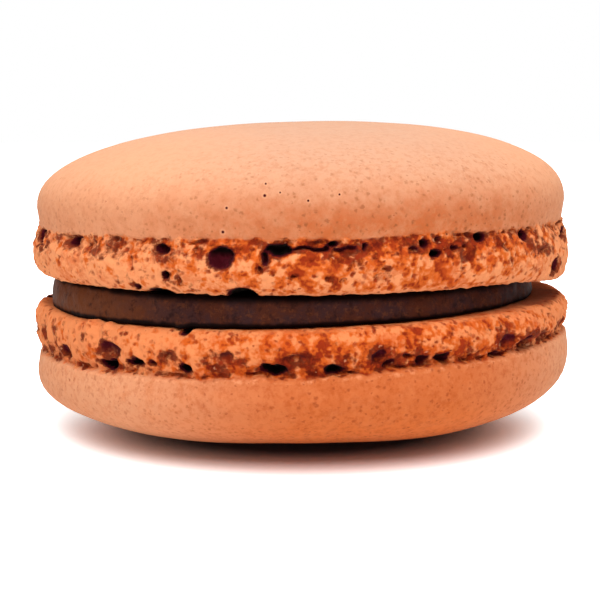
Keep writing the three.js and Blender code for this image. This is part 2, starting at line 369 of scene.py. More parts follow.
# Hollows in front of the feet: azimuth, then distance from the seam, width, height and depth
TOP_HOLLOWS = (
    Hollow(-50.7, 0.53, 1.6, 0.9, 0.9, 0.2),
    Hollow(-44.6, 0.72, 1.9, 0.9, 0.35),
    Hollow(-37.9, 0.24, 0.8, 0.5, 0.45),
    Hollow(-39.0, 1.06, 1.9, 0.7, 0.3),
    Hollow(-33.2, 1.65, 0.45, 1.0, 0.45),
    Hollow(-32.9, 3.6, 0.8, 0.36, 1.3),
    Hollow(-26.3, 0.73, 1.4, 0.85, 0.95, 0.2),
    Hollow(-19.6, 0.62, 0.45, 0.35, 0.5),
    Hollow(-14.5, 1.28, 1.9, 1.65, 1.0, 0.14),
    Hollow(-25.4, 2.57, 0.8, 0.65, 1.3, 0.15),
    Hollow(-22.4, 2.91, 0.46, 0.6, 0.5),
    Hollow(-10.7, 0.71, 0.85, 0.7, 0.3),
    Hollow(-6.3, 1.3, 0.6, 1.1, 1.0),
    Hollow(-7.3, 2.0, 0.5, 0.6, 0.6),
    Hollow(-3.7, 0.65, 1.95, 0.9, 1.5, 0.3),
    Hollow(0.5, 0.6, 2.3, 0.34, 0.9, 0.35),
    Hollow(3.4, 0.7, 1.6, 0.34, 0.9, 0.35),
    Hollow(5.0, 0.5, 0.5, 0.5, 1.0),
    Hollow(5.9, 0.2, 0.72, 0.45, 1.2, 0.2),
    Hollow(7.3, 0.62, 1.2, 0.4, 0.8),
    Hollow(9.3, 0.54, 1.1, 0.38, 0.8),
    Hollow(11.7, 0.5, 0.36, 0.7, 0.9),
    Hollow(8.5, 0.82, 2.8, 0.83, 0.45),
    Hollow(-1.1, 2.54, 0.55, 0.28, 0.4),
    Hollow(4.9, 2.7, 0.42, 0.35, 0.4),
    Hollow(7.8, 2.92, 0.35, 0.35, 0.35),
    Hollow(15.3, 2.09, 0.8, 0.28, 0.4),
    Hollow(14.8, 2.77, 1.0, 0.6, 0.25),
    Hollow(23.5, 0.59, 0.85, 0.55, 1.1, 0.2),
    Hollow(21.1, 0.92, 0.9, 0.5, 0.6),
    Hollow(25.6, 1.29, 0.94, 0.6, 1.3, 0.15),
    Hollow(26.6, 0.39, 0.48, 0.35, 0.7),
    Hollow(29.6, 0.96, 0.74, 0.57, 0.7),
    Hollow(32.3, 0.87, 0.93, 0.36, 0.6),
    Hollow(36.7, 0.2, 1.2, 0.75, 1.3, 0.15),
    Hollow(33.5, 1.56, 1.7, 0.9, 0.3),
    Hollow(49.4, 0.55, 1.2, 0.85, 1.1, 0.15),
    Hollow(56.8, 1.83, 2.5, 0.6, 0.4),
    Hollow(42.7, 1.02, 0.8, 0.59, 0.35),
    Hollow(-28.2, 4.1, 2.4, 0.9, 2.2, 0.15),
    Hollow(-11.1, 4.05, 2.2, 1.3, 2.4, 0.1),
)
BOTTOM_HOLLOWS = (
    Hollow(-55.5, 0.85, 1.9, 0.95, 0.75, 0.15),
    Hollow(-40.1, 1.42, 2.2, 1.2, 0.6),
    Hollow(-41.3, 0.55, 2.3, 0.66, 1.5, 0.35),
    Hollow(-33.2, 0.8, 1.2, 0.8, 1.5, 0.35),
    Hollow(-29.1, 0.91, 0.65, 0.43, 0.8),
    Hollow(-26.2, 1.54, 1.0, 0.57, 0.5),
    Hollow(-22.4, 0.65, 1.0, 0.66, 1.4, 0.15),
    Hollow(-14.1, 1.44, 1.44, 0.7, 0.5),
    Hollow(-5.5, 0.5, 2.0, 0.85, 1.5, 0.28),
    Hollow(-1.5, 1.27, 1.8, 0.9, 0.5),
    Hollow(5.8, 0.42, 1.5, 0.66, 1.3, 0.28),
    Hollow(13.8, 1.1, 1.2, 0.95, 0.7),
    Hollow(15.8, 0.42, 1.15, 0.6, 0.8),
    Hollow(19.5, 0.87, 1.04, 0.49, 0.6),
    Hollow(22.7, 0.5, 1.2, 0.85, 1.0, 0.35),
    Hollow(27.1, 0.42, 1.5, 0.95, 1.0, 0.35),
    Hollow(33.4, 0.41, 0.52, 0.36, 0.6),
    Hollow(39.8, 0.2, 1.33, 0.5, 0.8),
    Hollow(43.1, 0.96, 1.9, 1.4, 0.6),
    Hollow(49.1, 0.52, 1.95, 0.95, 0.7),
    Hollow(57.5, 0.62, 2.7, 1.0, 0.5),
    Hollow(-22.6, 3.2, 0.85, 1.0, 2.0, 0.25),
    Hollow(-48.2, 3.5, 1.6, 0.6, 0.6),
)

# Brown patches in front of the feet: azimuth, then distance from the seam, width, height and strength
TOP_STAINS = (
    Stain(-51.0, 0.6, 3.6, 1.4, 0.7),
    Stain(-39.0, 0.9, 4.5, 1.9, 0.75),
    Stain(-25.8, 0.9, 3.0, 1.8, 0.72),
    Stain(-20.0, 0.7, 2.4, 1.4, 0.5),
    Stain(-10.4, 0.7, 1.6, 1.2, 0.6),
    Stain(2.5, 0.6, 3.6, 0.9, 0.65),
    Stain(8.3, 0.95, 3.6, 1.6, 0.85),
    Stain(16.0, 0.4, 4.6, 0.8, 0.6),
    Stain(22.0, 0.8, 2.2, 1.4, 0.8),
    Stain(31.0, 1.1, 3.4, 1.8, 0.78),
    Stain(31.0, 2.8, 0.9, 1.2, 0.5),
    Stain(40.5, 0.6, 1.8, 1.1, 0.6),
    Stain(53.0, 1.2, 4.5, 1.3, 0.65),
)
BOTTOM_STAINS = (
    Stain(-60.0, 1.6, 1.2, 2.6, 0.5),
    Stain(-25.5, 1.3, 2.4, 1.0, 0.8),
    Stain(-15.5, 1.2, 3.6, 1.3, 0.8),
    Stain(-9.0, 0.5, 1.6, 0.7, 0.5),
    Stain(-0.8, 1.2, 2.8, 1.4, 0.95),
    Stain(8.0, 1.1, 2.6, 0.9, 0.55),
    Stain(14.0, 1.2, 2.6, 1.7, 0.78),
    Stain(21.0, 0.8, 2.8, 1.2, 0.85),
    Stain(33.0, 0.4, 4.0, 0.6, 0.55),
    Stain(42.0, 1.2, 2.4, 2.3, 0.9),
    Stain(50.5, 0.9, 4.5, 1.6, 0.9),
)


@dataclass
class Shell:
    """One domed meringue shell with its ruffled foot."""

    name: str
    side: int
    face_level: float
    foot_height: float
    crest_share: float
    lip_depth: float
    cap_radius: float
    cap_height: float
    dome_roundness: float
    face_tilt: float
    seam_tilt: float
    crown_tilt: float
    centre_x: float
    seed: int
    hollows: tuple[Hollow, ...]
    stains: tuple[Stain, ...]
    sags: tuple[LipSag, ...] = ()
    front_roundness: float = 2.27
    # how far the painted shade and smear on the face reach out onto the lip at the far right
    brown_inside: float = 0.0
    foot_radius: float = 22.5
    # the azimuth where the painted light and sheen on the sides are least
    least_painted_light_azimuth: float = 15.0
    side_hollows: int = 60
    pores: int = 560
    pore_radius: tuple[float, float] = (0.14, 0.28)
    pore_depth: tuple[float, float] = (0.22, 0.5)  # as a share of its width

    def foot_lip(self, degrees: float) -> tuple[float, float]:
        """Gives the rounded lip's radius and height, 90 degrees being the foot's crest."""
        angle = math.radians(degrees)
        radius = self.foot_radius - self.lip_depth * (1.0 - math.sin(angle))
        return radius, self.crest_share * self.foot_height * (1.0 - math.cos(angle))

    def foot_wall(self, share: float) -> tuple[float, float]:
        """Gives radius and height of the foot's outline at a share of its height above the crest."""
        climb = (share - self.crest_share) / (1.0 - self.crest_share)
        drawn_in = SEAM_RECESS * float(smooth_steps(np.array(climb), RECESS_START, 1.0))
        return self.foot_radius - drawn_in, share * self.foot_height

    def dome(self, degrees: float) -> tuple[float, float]:
        """Gives the dome's radius and height, 0 degrees being its widest ring and 90 degrees its top."""
        power = 2.0 / self.dome_roundness
        angle = math.radians(degrees)
        rise = self.cap_height - CAP_WIDEST_HEIGHT
        height = self.foot_height + CAP_WIDEST_HEIGHT + rise * math.sin(angle) ** power
        return self.cap_radius * max(math.cos(angle), 0.0) ** power, height

    def outline(self) -> list[tuple[float, float]]:
        """Lists the shell's outline from the middle of its face to the top of its dome."""
        start = self.foot_lip(0.0)
        face = spaced([(0.0, 0.0), start], FACE_SPACING)
        lip = [self.foot_lip(angle) for angle in range(0, 91, 5)]
        wall = [self.foot_wall(self.crest_share + (1.0 - self.crest_share) * i / 12) for i in range(1, 13)]
        edge = (self.cap_radius - CAP_EDGE_TUCK, self.foot_height + CAP_EDGE_HEIGHT)
        widest = (self.cap_radius, self.foot_height + CAP_WIDEST_HEIGHT)
        band = spaced(lip + wall + [edge, widest], BAND_SPACING)
        crown = spaced([self.dome(90.0 * i / 600) for i in range(601)], DOME_SPACING)
        return face[:-1] + band[:-1] + crown

    def bare(self) -> bmesh.types.BMesh:
        """Spins the outline and divides the foot's band once more."""
        bm = MeshMaker(self.name).spun(self.outline(), SPIN_STEPS)
        inner = self.foot_radius - self.lip_depth - BAND_SPACING
        top = self.foot_height + CAP_BAND
        fine = {v for v in bm.verts if math.hypot(v.co.x, v.co.y) > inner and v.co.z < top}
        edges = [e for e in bm.edges if e.verts[0] in fine and e.verts[1] in fine]
        bmesh.ops.subdivide_edges(bm, edges=edges, cuts=1, use_grid_fill=True)
        return bm

    def flattening(self, azimuth: np.ndarray, radius: np.ndarray, height: np.ndarray) -> np.ndarray:
        """Works out how much lower the dome is in front than all round.

        Args:
            azimuth: Each point's azimuth in degrees.
            radius: Each point's distance from the axis.
            height: Each point's height above the shell's face.

        Returns:
            The change of height in millimetres, for each point.
        """
        widest = self.foot_height + CAP_WIDEST_HEIGHT
        share = np.clip(radius / self.cap_radius, 0.0, 1.0)
        in_front = smooth_steps(np.abs(azimuth), *FRONT_REACH)
        power = self.dome_roundness + (self.front_roundness - self.dome_roundness) * in_front
        rises = [(1.0 - share**n) ** (1.0 / n) for n in (power, self.dome_roundness)]
        return (self.cap_height - CAP_WIDEST_HEIGHT) * (rises[0] - rises[1]) * (height > widest)

    def slope(self, height: np.ndarray) -> np.ndarray:
        """Gives the layers' tilt at each height, from the face to the seam and on to the crown."""
        tilts = (self.face_tilt, self.seam_tilt, self.crown_tilt)
        face, seam, crown = (math.tan(math.radians(tilt)) for tilt in tilts)
        foot = face + (seam - face) * np.clip(height / self.foot_height, 0.0, 1.0)
        on_cap = smooth_steps(height, self.foot_height, self.foot_height + self.cap_height)
        return foot + (crown - seam) * on_cap

    def all_hollows(self) -> list[Hollow]:
        """Lists the hollows seen in front, then seeded ones round the rest of the foot."""
        draw = random.Random(self.seed)
        found = list(self.hollows)
        for i in range(self.side_hollows):
            azimuth = UNSEEN[0] + (UNSEEN[1] - UNSEEN[0]) * (i + draw.random()) / self.side_hollows
            deep = draw.random()
            width = draw.uniform(0.5, 2.2)
            height = width * draw.uniform(0.35, 0.75)
            by_seam = draw.random() < BY_SEAM_SHARE
            low, high = BY_SEAM if by_seam else (BY_SEAM[1], self.foot_height - 0.6)
            from_seam = draw.uniform(low, high)
            found.append(Hollow(azimuth, from_seam, width, height, 0.3 + 0.9 * deep * deep))
        return found

    def all_pores(self) -> list[Hollow]:
        """Lists small seeded pores all round the foot."""
        draw = random.Random(self.seed + 1)
        found = []
        for _ in range(self.pores):
            azimuth = draw.uniform(-180.0, 180.0)
            from_seam = self.foot_height * draw.random() ** 1.15
            found.append(self.pore(draw, azimuth, from_seam))
        for stain in self.stains:
            spread = math.degrees(stain.width / self.foot_radius)
            for _ in range(round(PORES_IN_STAIN * stain.width * stain.height * stain.strength)):
                azimuth = stain.azimuth + draw.uniform(-0.5, 0.5) * spread
                from_seam = stain.from_seam + draw.uniform(-0.5, 0.5) * stain.height
                found.append(self.pore(draw, azimuth, from_seam))
        return found

    def pore(self, draw: random.Random, azimuth: float, from_seam: float) -> Hollow:
        """Draws the size of one pore."""
        small, large = self.pore_radius
        width = 2.0 * (small + (large - small) * draw.random() ** 2)
        height = width * draw.uniform(0.7, 1.0)
        return Hollow(azimuth, from_seam, width, height, width * draw.uniform(*self.pore_depth))

    def stained(self, azimuth: np.ndarray, from_seam: np.ndarray) -> np.ndarray:
        """Works out the placed stains.

        Args:
            azimuth: Each point's azimuth in degrees.
            from_seam: Each point's distance from the seam.

        Returns:
            The stain from 0 to 1, for each point.
        """
        found = np.zeros(len(azimuth))
        for stain in self.stains:
            across = np.radians(azimuth - stain.azimuth) * self.foot_radius / (stain.width / 2)
            up = (from_seam - stain.from_seam) / (stain.height / 2)
            found = np.maximum(found, stain.strength * smooth_steps(np.hypot(across, up), 1.35, 0.55))
        return found

    def sink(
        self,
        hollows: list[Hollow],
        azimuth: np.ndarray,
        height: np.ndarray,
        field: dict[str, np.ndarray],
        stain_reach: float,
    ) -> tuple[np.ndarray, np.ndarray, np.ndarray, np.ndarray]:
        """Works out how far the hollows push the foot in, the stain round them and the painted shade inside.

        Args:
            hollows: The hollows to sink.
            azimuth: Each point's azimuth in degrees.
            height: Each point's height above the shell's face.
            field: The random values of the points, for ragged outlines.
            stain_reach: How far the stain spreads round a hollow.

        Returns:
            For each point, the push inwards in millimetres, then the stain, the painted shade and the
            nearness to a middle, each from 0 to 1.
        """
        push, stain, dark, middle = np.zeros((4, len(azimuth)))
        for hollow in hollows:
            half_width, half_height = hollow.width / 2, hollow.height / 2
            half = min(half_width, half_height)
            across = np.radians(turned_from(hollow.azimuth, azimuth)) * self.foot_radius
            up = height - (self.foot_height - hollow.from_seam)
            near = np.abs(across) < half_width + HOLLOW_MARGIN
            near &= np.abs(up) < half_height + HOLLOW_MARGIN
            warp = hollow.raggedness * min(half / 0.35, 1.0)
            across = across[near] + warp * field["warp_across"][near]
            up = up[near] + 0.7 * warp * field["warp_up"][near]
            beyond = (np.hypot(across / half_width, up / half_height) - 1.0) * half
            walls = smooth_steps(beyond, RIM_SOFTNESS / 2, -min(RIM_SOFTNESS, 0.7 * half))
            bowl = 0.55 + 0.45 * smooth_steps(beyond, 0.0, -0.9 * half)
            push[near] = np.maximum(push[near], hollow.depth * walls * bowl)
            halo = min(1.0, 0.5 + 0.7 * hollow.depth) * smooth_steps(beyond, stain_reach, 0.0)
            stain[near] = np.maximum(stain[near], halo)
            # Painted shade inside a hollow, darker for deeper ones and under the upper edge
            blackness = (hollow.depth - BLACK_DEPTHS[0]) / (BLACK_DEPTHS[1] - BLACK_DEPTHS[0])
            shade = min(max(blackness, 0.0), 1.0) * smooth_steps(beyond, 0.04, -0.08)
            change = UNDER_EDGE_SHADE * (1.0 - shade.max(initial=0.0))
            under_edge = np.clip(1.0 + change * self.side * up / half_height, 0.4, 1.6)
            dark[near] = np.maximum(dark[near], shade * under_edge)
            middle[near] = np.maximum(middle[near], smooth_steps(beyond, 0.04, -0.85 * half))
        return push, stain, dark, middle

    def random_fields(self, places: np.ndarray, band: np.ndarray) -> dict[str, np.ndarray]:
        """Works out the random relief of the foot's band; elsewhere it is 0.

        Args:
            places: All the points in millimetres, one a row.
            band: Which points are in the band.

        Returns:
            Values from about -1 to 1 by field name.
        """
        level = places[band] * (1.0, 1.0, 0.0)
        long_wave = Unevenness(4.0, 0.2, self.seed + 13).at(level)
        short_wave = Unevenness(0.7, 0.1, self.seed + 17).at(level)
        kinds = {
            "lobe": Unevenness(3.4, 1.0, self.seed).at(places[band]),
            "crumb": Crumbs(0.75, 1.0, self.seed + 3).at(places[band]),
            "fine": Unevenness(0.36, 1.0, self.seed + 5).at(places[band]),
            "torn": Unevenness(0.8, 1.0, self.seed + 7).at(places[band]),
            "patch": Unevenness(1.9, 1.0, self.seed + 11).at(places[band]),
            "seam_wave": long_wave + short_wave,
            "crack": Unevenness(2.0, 1.0, self.seed + 19).at(level),
            "warp_across": Unevenness(1.0, 1.0, self.seed + 29).at(places[band]),
            "warp_up": Unevenness(0.9, 1.0, self.seed + 31).at(places[band]),
        }
        fields = {}
        for name, values in kinds.items():
            fields[name] = np.zeros(len(places))
            fields[name][band] = values
        fields["ragged"] = 0.7 * fields["torn"] + 0.5 * fields["fine"]
        fields["warp_across"] += 0.45 * fields["fine"]
        fields["warp_up"] += 0.45 * fields["torn"]
        return fields

    def sagged(
        self,
        azimuth: np.ndarray,
        height: np.ndarray,
        radius: np.ndarray,
    ) -> tuple[np.ndarray, np.ndarray]:
        """Works out how far the lip hangs towards the ganache and swells out.

        Args:
            azimuth: Each point's azimuth in degrees.
            height: Each point's height above the shell's face.
            radius: Each point's distance from the axis.

        Returns:
            The drop and the swell in millimetres, for each point.
        """
        drop = np.zeros(len(azimuth))
        swell = np.zeros(len(azimuth))
        inner = self.foot_radius - self.lip_depth
        for sag in self.sags:
            share = smooth_steps(np.abs(turned_from(sag.azimuth, azimuth)), sag.reach, 0.0)
            share *= smooth_steps(height, self.foot_height * 0.75, 0.0)
            share *= smooth_steps(radius, inner - 0.8, inner + 0.6 * self.lip_depth)
            drop += sag.drop * share
            swell += sag.swell * share
        return drop, swell

    def build(self) -> bpy.types.Object:
        """Models the shell.

        Returns:
            The shell's object with its values for the finish.
        """
        bm = self.bare()
        raw = np.array([v.co for v in bm.verts])
        radius = np.hypot(raw[:, 0], raw[:, 1])
        azimuth = np.degrees(np.arctan2(raw[:, 0], -raw[:, 1]))
        height = raw[:, 2] + self.flattening(azimuth, radius, raw[:, 2])
        from_seam = self.foot_height - height
        inner = self.foot_radius - self.lip_depth
        band = (radius > inner - 1.0) & (height < self.foot_height + CAP_WIDEST_HEIGHT)
        field = self.random_fields(raw, band)

        foot = smooth_steps(from_seam + 0.2 * field["ragged"], -0.16, -0.02) * band
        relief = foot * (0.5 + 0.5 * smooth_steps(height, 0.0, 0.3 * self.foot_height))
        outwards = relief * sum(depth * field[name] for name, depth in RELIEF_DEPTHS.items())

        push, stain, dark, _ = self.sink(self.all_hollows(), azimuth, height, field, STAIN_REACH)
        pore_push, pore_stain, _, pore = self.sink(self.all_pores(), azimuth, height, field, PORE_STAIN_REACH)
        sway = CRACK_SWAY * field["warp_up"]
        groove = smooth_steps(np.abs(from_seam - CRACK_FROM_SEAM - sway), *CRACK_REACH)
        gaping = smooth_steps(field["crack"] + 0.4 * field["torn"], 0.05, 0.4)
        groove *= CRACK_DEPTH + CRACK_DEPTH_MORE * gaping
        push = np.maximum.reduce([push, pore_push, groove * band])
        outside = smooth_steps(from_seam + 0.08 * field["fine"], -0.3, -0.12)
        push *= outside

        cap = smooth_steps(height, self.foot_height, self.foot_height + 1.5)
        broad_wave = Unevenness(14.0, 0.05, self.seed + 9).at(raw)
        low_wave = cap * (broad_wave + Unevenness(4.5, 0.03, self.seed + 23).at(raw))
        outwards += 0.5 * low_wave
        rise = low_wave + field["seam_wave"] * smooth_steps(height, 0.3 * self.foot_height, self.foot_height)
        drop, swell = self.sagged(azimuth, height, radius)
        teeth = smooth_steps(height, 0.8, 0.0) * smooth_steps(radius, inner - 0.2, inner + 0.3)
        rise += 0.14 * teeth * field["ragged"] + 0.05 * relief * field["torn"] - drop
        outwards += swell

        grown = np.where(radius < 1e-6, 0.0, np.maximum(radius + outwards - push, 0.0))
        angle = np.radians(azimuth)
        east = grown * np.sin(angle)
        final = np.empty_like(raw)
        final[:, 0] = east + self.centre_x + AXIS[0]
        final[:, 1] = -grown * np.cos(angle) + AXIS[1]
        final[:, 2] = self.side * (height + rise) + east * self.slope(height) + self.face_level
        final[:, 2] = np.maximum(final[:, 2], 0.0)

        seam_stain = smooth_steps(from_seam + 0.8 * field["patch"] + 0.3 * field["torn"], 1.3, 0.2)
        placed = self.stained(azimuth, from_seam)
        stain = np.maximum.reduce([0.9 * stain, 0.32 * pore_stain, 0.62 * seam_stain, placed])
        far_right = smooth_steps(azimuth, *SHADE_AND_SMEAR_START) * smooth_steps(azimuth, *SHADE_AND_SMEAR_END)
        reach = self.brown_inside * far_right * (1.0 + 0.5 * field["patch"] + 0.3 * field["torn"])
        # Painted light and sheen: the crust turns paler away from the front
        painted_light_side = smooth_steps(np.abs(turned_from(self.least_painted_light_azimuth, azimuth)), *PAINTED_LIGHT_REACH)
        painted_light_side *= smooth_steps(radius, *CROWN_REACH)
        # Paler on raised crumbs and darker in creases: painted highlight and shade
        lump = 0.5 + 0.22 * field["crumb"] + 0.25 * field["torn"] + 0.25 * field["fine"]
        lip = smooth_steps(radius, inner - 0.1, inner + 0.15)
        under_face = smooth_steps(height, 0.4, 0.0)
        above_seam = np.abs(from_seam + 0.3 + 0.08 * field["ragged"])
        low, high = (self.foot_height + height_above for height_above in LOW_ZONE)
        values = {
            "foot": foot,
            # Painted shade in the hollows and along the crack
            "pit": np.clip(np.maximum(dark, 0.5 * groove * band), 0.0, 1.0) * outside,
            "stain": np.clip(stain, 0.0, 1.0) * foot,
            # Middles of the pores, where their painted shade goes
            "pore": pore * foot,
            "lump": np.clip(lump, 0.0, 1.0),
            # Painted highlight along the lip's edge
            "rim_highlight": smooth_steps(height + 0.12 * field["ragged"], 0.3, 0.1) * lip,
            # Painted shade on the face inside the lip, between the shells, with the ganache's smear at the
            # far right
            "inner": smooth_steps(radius - reach, inner - 0.3, inner - 0.8) * under_face,
            "away": np.clip(from_seam / self.foot_height, 0.0, 1.0),
            "painted_light_side": painted_light_side,
            "low": smooth_steps(height, low, high),
            # Where the painted glint along the brim goes
            "brim": smooth_steps(above_seam, 0.22, 0.05) * band,
            "crown": np.clip((height - self.foot_height - 0.8) / (0.8 * self.cap_height), 0.0, 1.0),
        }
        return MeshMaker(self.name).finished(bm, final, values)


@dataclass
class Ganache:
    """The disc of dark ganache between the two faces."""

    name: str = "ganache_disc"
    radius: float = 20.25
    centre_x: float = -0.7
    centre_y: float = -0.85
    bulge: float = 0.3
    spread: float = 0.35
    seed: int = 31
    steps: int = 760
    face_tilts: tuple[float, float] = (1.5, 0.45)
    waves: tuple[tuple[float, float, int], ...] = ((4.2, 0.16, 0), (1.3, 0.08, 3), (0.5, 0.03, 5))
    swells: tuple[Hollow, ...] = (
        Hollow(-28.2, 1.0, 3.0, 0.5, 0.3),
        Hollow(-11.1, 1.0, 3.0, 0.5, 0.35),
        Hollow(-22.6, 0.0, 1.6, 0.4, 0.5),
    )

    def outline(self) -> list[tuple[float, float]]:
        """Lists radius and share of the height, from the middle of the underside to the middle of the top."""
        inner, edge = self.radius - 0.35, self.radius - 0.12
        side = [(self.radius, i / GANACHE_SIDE_STEPS) for i in range(GANACHE_SIDE_STEPS + 1)]
        under = spaced([(0.0, 0.0), (inner, 0.0)], GANACHE_SPACING)
        over = spaced([(inner, 1.0), (0.0, 1.0)], GANACHE_SPACING)
        return under + [(edge, 0.0)] + side + [(edge, 1.0)] + over

    def build(self) -> bpy.types.Object:
        """Models the disc.

        Returns:
            The disc's object with its values for the finish.
        """
        bm = MeshMaker(self.name).spun(self.outline(), self.steps)
        raw = np.array([v.co for v in bm.verts])
        radius = np.hypot(raw[:, 0], raw[:, 1])
        angle = np.arctan2(raw[:, 0], -raw[:, 1])
        azimuth = np.degrees(angle)
        share = np.clip(raw[:, 2], 0.0, 1.0)
        side = smooth_steps(radius, self.radius - 0.6, self.radius)
        body = raw.copy()
        body[:, 2] *= TOP_FACE_LEVEL - BOTTOM_FACE_LEVEL
        wave = sum(Unevenness(grain, depth, self.seed + step).at(body) for grain, depth, step in self.waves)
        ragged = Unevenness(0.6, 1.0, self.seed + 7).at(body)
        round_side = self.bulge * (np.sqrt(np.clip(1.0 - (2.0 * share - 1.0) ** 2, 0.0, 1.0)) - 1.0)
        grown = radius + side * (round_side + self.spread * (0.5 - share) + wave)
        for swell in self.swells:
            across = np.radians(azimuth - swell.azimuth) * self.radius / (swell.width / 2)
            up = (share - swell.from_seam) / swell.height
            grown += side * swell.depth * smooth_steps(np.hypot(across, up), 1.1, 0.2)
        low = BOTTOM_FACE_LEVEL + FILLING_CLEARANCE
        high = TOP_FACE_LEVEL - FILLING_CLEARANCE
        east = grown * np.sin(angle) + self.centre_x
        tilt_low, tilt_high = (math.tan(math.radians(t)) for t in self.face_tilts)
        bottom = low + east * tilt_low
        top = high + east * tilt_high
        final = np.empty_like(raw)
        final[:, 0] = east + AXIS[0]
        final[:, 1] = -grown * np.cos(angle) + self.centre_y + AXIS[1]
        final[:, 2] = bottom + (top - bottom) * share
        # Painted shade along the top and bottom edges, where the lips overhang the ganache; thinner at the
        # top on the left
        under = smooth_steps(share + 0.05 * ragged, 0.2, 0.1)
        depth_above = 0.32 - 0.18 * smooth_steps(azimuth, -12.0, -55.0)
        over = smooth_steps((1.0 - share + 0.04 * ragged) / depth_above, 1.0, 0.28)
        # Painted light makes the ganache lighter towards its left
        values = {"contact_shade": np.maximum(under, over), "painted_light_side": smooth_steps(azimuth, *GANACHE_LEFT)}
        return MeshMaker(self.name).finished(bm, final, values)


class Graph:
    """A node tree that is being filled in."""

    def __init__(self, tree: bpy.types.NodeTree) -> None:
        """Starts from an empty tree."""
        self.tree = tree
        tree.nodes.clear()

    def node(self, kind: str, inputs: dict | None = None, **settings: object) -> bpy.types.Node:
        """Adds a node.

        Args:
            kind: The node's type.
            inputs: Values or sockets by input name or number.
            settings: Properties of the node.

        Returns:
            The new node.
        """
        made = self.tree.nodes.new(kind)
        for name, value in settings.items():
            setattr(made, name, value)
        for name, value in (inputs or {}).items():
            if isinstance(value, bpy.types.NodeSocket):
                self.tree.links.new(value, made.inputs[name])
            else:
                made.inputs[name].default_value = value
        return made

    def math(self, operation: str, *values: object) -> bpy.types.NodeSocket:
        """Adds a Math node and gives its output."""
        return self.node("ShaderNodeMath", dict(enumerate(values)), operation=operation).outputs[0]

    def vector(self, operation: str, inputs: dict, output: str = "Vector") -> bpy.types.NodeSocket:
        """Adds a Vector Math node and gives its output."""
        return self.node("ShaderNodeVectorMath", inputs, operation=operation).outputs[output]

    def ease(self, value: bpy.types.NodeSocket, low: object, high: object) -> bpy.types.NodeSocket:
        """Eases a value from 0 at low to 1 at high."""
        inputs = {"Value": value, "From Min": low, "From Max": high}
        return self.node("ShaderNodeMapRange", inputs, interpolation_type="SMOOTHSTEP").outputs["Result"]

    def blend(self, mask: object, first: object, second: object) -> bpy.types.NodeSocket:
        """Mixes two colours by a mask."""
        return self.node("ShaderNodeMix", {0: mask, 6: first, 7: second}, data_type="RGBA").outputs[2]

    def tinted(self, colour: object, mask: object, share: float, tint: object) -> bpy.types.NodeSocket:
        """Lays a share of a tint over a colour where the mask says."""
        return self.blend(self.math("MULTIPLY", mask, share), colour, tint)

    def attribute(self, name: str) -> bpy.types.NodeSocket:
        """Reads one of the mesh's values."""
        return self.node("ShaderNodeAttribute", attribute_type="GEOMETRY", attribute_name=name).outputs["Fac"]

    def noise(
        self,
        vector: object,
        grain: float,
        detail: float = 3.0,
        roughness: float = 0.55,
    ) -> bpy.types.NodeSocket:
        """Adds noise with a grain in millimetres."""
        inputs = {"Vector": vector, "Scale": 1.0 / (grain * MM), "Detail": detail, "Roughness": roughness}
        return self.node("ShaderNodeTexNoise", inputs).outputs["Fac"]

    def group(self, tree: bpy.types.NodeTree, **inputs: object) -> bpy.types.NodeSocket:
        """Places a node group with its own values and gives its output."""
        return self.node("ShaderNodeGroup", inputs, node_tree=tree).outputs[0]

    def surface(self, inputs: dict) -> None:
        """Ends a material with a Principled shader."""
        shader = self.node("ShaderNodeBsdfPrincipled", inputs)
        self.node("ShaderNodeOutputMaterial", {"Surface": shader.outputs["BSDF"]})


def new_material(name: str) -> tuple[bpy.types.Material, Graph, bpy.types.NodeSocket]:
    """Makes a material and gives it with its empty tree and the object coordinates."""
    made = bpy.data.materials.new(name)
    made.use_nodes = True
    graph = Graph(made.node_tree)
    return made, graph, graph.node("ShaderNodeTexCoord").outputs["Object"]


